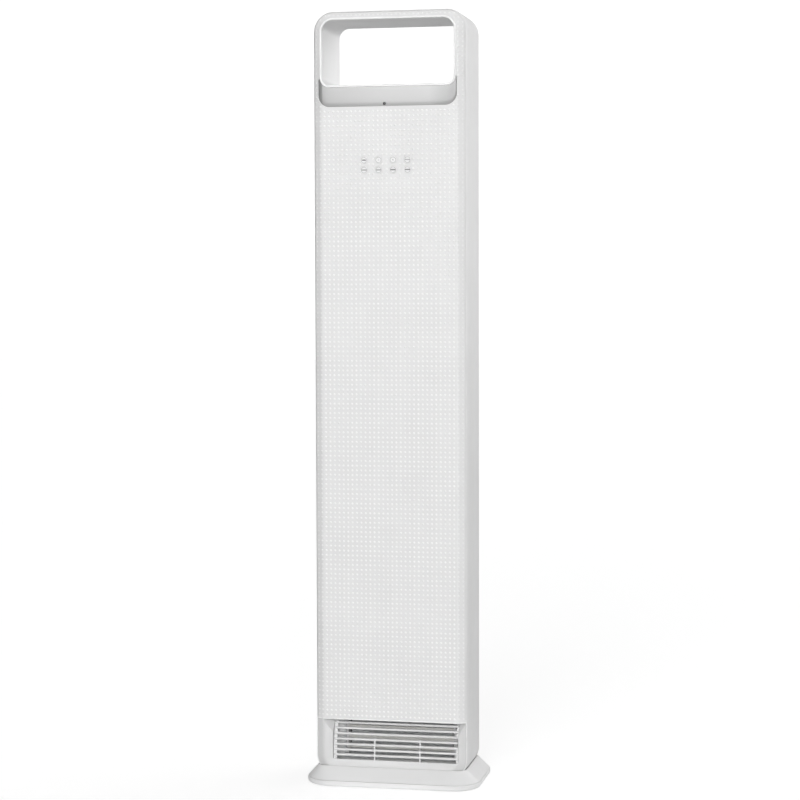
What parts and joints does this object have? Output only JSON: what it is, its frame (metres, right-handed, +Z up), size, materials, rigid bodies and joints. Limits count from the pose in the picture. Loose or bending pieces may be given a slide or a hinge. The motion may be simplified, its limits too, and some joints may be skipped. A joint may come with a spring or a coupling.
{
  "type": "ceramic space heater",
  "caption": "Free-standing tower heater with a carry-through handle at the top, a dotted front, push keys, and a low warm-air outlet on a flared plinth.",
  "frame": {"origin": "middle of the plinth's footprint, on the floor under the rubber feet", "axes": "+Z up along the column, front faces -Y, +X to the right seen from the front"},
  "size_m": [0.229, 0.147, 1],
  "materials": {
    "front_plastic": "fine satin, moulded with raised dots",
    "casing_plastic": "fine satin",
    "liner_plastic": "semi gloss",
    "silver_trim": "satin silver paint on plastic",
    "dark_lens": "polished infrared window",
    "dark_plastic": "matt",
    "louvre_plastic": "satin",
    "base_plastic": "satin",
    "rubber": "matt",
    "sheet_steel": "galvanised",
    "filter_net": "woven net",
    "inner_plastic": "matt",
    "circuit_board": "solder mask",
    "screw_steel": "zinc plated",
    "wire_sleeve": "braided sleeve",
    "motor_steel": "plated",
    "bearing_bronze": "sintered",
    "ptc_ceramic": null,
    "fin_aluminium": "folded strip",
    "key_plastic": "satin"
  },
  "bodies": {
    "heater": {"front_cover": "front_plastic", "rear_casing": "casing_plastic", "handle_liner": "liner_plastic", "trim_strip": "silver_trim", "sensor_window": "dark_lens", "ir_receiver": "dark_plastic", "outlet_bezel": "casing_plastic", "outlet_grille": "louvre_plastic", "base_cover": "base_plastic", "base_plate": "base_plastic", "rubber_feet": "rubber", "ballast_plate": "sheet_steel", "key_guide": "inner_plastic", "control_board": "circuit_board", "tact_switches": "dark_plastic", "board_screws": "screw_steel", "inner_chassis": "sheet_steel", "power_board": "circuit_board", "power_components": "dark_plastic", "terminal_block": "inner_plastic", "wiring_loom": "wire_sleeve", "air_duct": "sheet_steel", "fan_motor": "motor_steel", "motor_bracket": "sheet_steel", "fan_bearing": "bearing_bronze", "ptc_frame": "inner_plastic", "ptc_elements": "ptc_ceramic", "ptc_fins": "fin_aluminium", "overheat_thermostat": "dark_plastic", "tip_switch_housing": "dark_plastic", "tip_spring": "screw_steel", "cord_gland": "dark_plastic", "casing_screws": "screw_steel", "column_screws": "screw_steel", "base_screws": "screw_steel", "motor_screws": "screw_steel"},
    "filter": {"filter_cover": "casing_plastic", "filter_mesh": "filter_net"},
    "fan": {"fan_impeller": "dark_plastic", "motor_shaft": "screw_steel"},
    "tip_plunger": {"tip_switch_plunger": "inner_plastic"},
    "key_1": {"key_1": "key_plastic"},
    "key_2": {"key_2": "key_plastic"},
    "key_3": {"key_3": "key_plastic"},
    "key_4": {"key_4": "key_plastic"},
    "key_5": {"key_5": "key_plastic"},
    "key_6": {"key_6": "key_plastic"},
    "key_7": {"key_7": "key_plastic"},
    "key_8": {"key_8": "key_plastic"}
  },
  "joints": [
    {"name": "key_1_press", "type": "slide", "parent": "heater", "child": "key_1", "axis": [0, 1, 0], "range_m": [0, 0.0008], "stiffness_N_per_m": 600, "springref_m": -0.0004},
    {"name": "key_2_press", "type": "slide", "parent": "heater", "child": "key_2", "axis": [0, 1, 0], "range_m": [0, 0.0008], "stiffness_N_per_m": 600, "springref_m": -0.0004},
    {"name": "key_3_press", "type": "slide", "parent": "heater", "child": "key_3", "axis": [0, 1, 0], "range_m": [0, 0.0008], "stiffness_N_per_m": 600, "springref_m": -0.0004},
    {"name": "key_4_press", "type": "slide", "parent": "heater", "child": "key_4", "axis": [0, 1, 0], "range_m": [0, 0.0008], "stiffness_N_per_m": 600, "springref_m": -0.0004},
    {"name": "key_5_press", "type": "slide", "parent": "heater", "child": "key_5", "axis": [0, 1, 0], "range_m": [0, 0.0008], "stiffness_N_per_m": 600, "springref_m": -0.0004},
    {"name": "key_6_press", "type": "slide", "parent": "heater", "child": "key_6", "axis": [0, 1, 0], "range_m": [0, 0.0008], "stiffness_N_per_m": 600, "springref_m": -0.0004},
    {"name": "key_7_press", "type": "slide", "parent": "heater", "child": "key_7", "axis": [0, 1, 0], "range_m": [0, 0.0008], "stiffness_N_per_m": 600, "springref_m": -0.0004},
    {"name": "key_8_press", "type": "slide", "parent": "heater", "child": "key_8", "axis": [0, 1, 0], "range_m": [0, 0.0008], "stiffness_N_per_m": 600, "springref_m": -0.0004},
    {"name": "fan_spin", "type": "hinge", "parent": "heater", "child": "fan", "pos_m": [0, 0.005, 0.062], "axis": [1, 0, 0], "continuous": true},
    {"name": "filter_pull", "type": "slide", "parent": "heater", "child": "filter", "axis": [0, 1, 0], "range_m": [0, 0.04]},
    {"name": "tip_plunger_drop", "type": "slide", "parent": "heater", "child": "tip_plunger", "axis": [0, 0, -1], "range_m": [0, 0.0035], "stiffness_N_per_m": 60, "springref_m": 0.006, "deforming": ["tip_spring"]}
  ]
}
